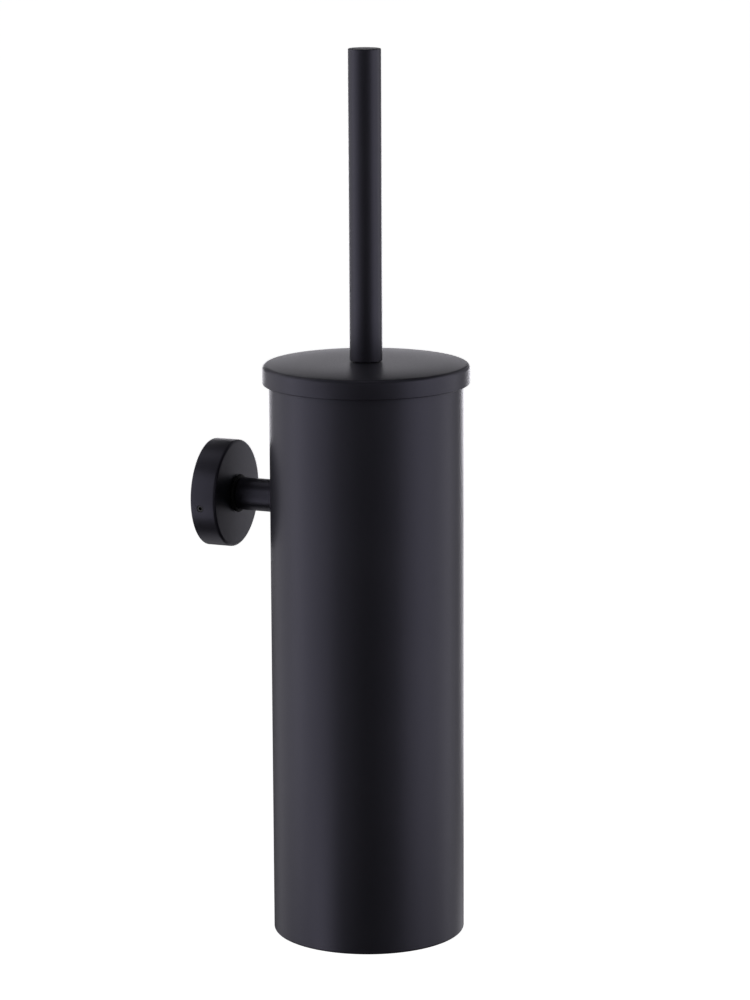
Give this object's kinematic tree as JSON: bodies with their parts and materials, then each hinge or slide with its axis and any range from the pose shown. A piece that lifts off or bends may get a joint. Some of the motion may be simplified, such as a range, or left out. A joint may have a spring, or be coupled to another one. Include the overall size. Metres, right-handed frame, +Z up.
{
  "type": "toilet brush holder",
  "caption": "Wall-mounted toilet brush set: tall round cup on a wall rose and short arm, lift-out inner cup, domed lid and brush with a straight round handle.",
  "frame": {"origin": "centre of the wall bracket's back face, on the wall", "axes": "+Z up, +Y into the wall, so the set stands out from the wall along -Y; the arm's axis is the Y axis"},
  "size_m": [0.0914, 0.1207, 0.3955],
  "materials": {
    "powder_coat": "matt black powder coat with a very fine texture",
    "black_plastic": "moulded black plastic, satin",
    "black_rubber": "black rubber, matt",
    "liner_plastic": "moulded black polypropylene, matt",
    "bristles": "black nylon bristles",
    "steel": "plain stainless steel",
    "black_steel": "steel with a black oxide finish",
    "zinc": "bare zinc casting, dull grey"
  },
  "bodies": {
    "holder": {"wall_bracket": "zinc", "rose_cover": "powder_coat", "rose_grub_screw": "black_steel", "rose_fixing_screw": "steel", "arm_collar": "black_rubber", "support_arm": "powder_coat", "cup_shell": "powder_coat", "cup_base": "powder_coat", "cup_fixing_screw": "steel", "cup_saddle_washer": "steel"},
    "liner": {"inner_cup": "liner_plastic"},
    "cover": {"lid": "powder_coat", "lid_bush": "black_plastic"},
    "brush": {"handle_tube": "powder_coat", "handle_insert": "steel", "stem_rod": "steel", "stem_washer": "steel", "lock_nut": "steel", "head_core": "black_plastic", "bristle_row_01": "bristles", "bristle_row_02": "bristles", "bristle_row_03": "bristles", "bristle_row_04": "bristles", "bristle_row_05": "bristles", "bristle_row_06": "bristles", "bristle_row_07": "bristles", "bristle_row_08": "bristles", "bristle_row_09": "bristles", "bristle_tip": "bristles"}
  },
  "joints": [
    {"name": "liner_lift", "type": "slide", "parent": "holder", "child": "liner", "axis": [0, 0, 1], "range_m": [0, 0.265]},
    {"name": "brush_lift", "type": "slide", "parent": "liner", "child": "cover", "axis": [0, 0, 1], "range_m": [0, 0.255]},
    {"name": "handle_spin", "type": "hinge", "parent": "cover", "child": "brush", "pos_m": [0, -0.075, 0.065], "axis": [0, 0, 1], "continuous": true}
  ]
}
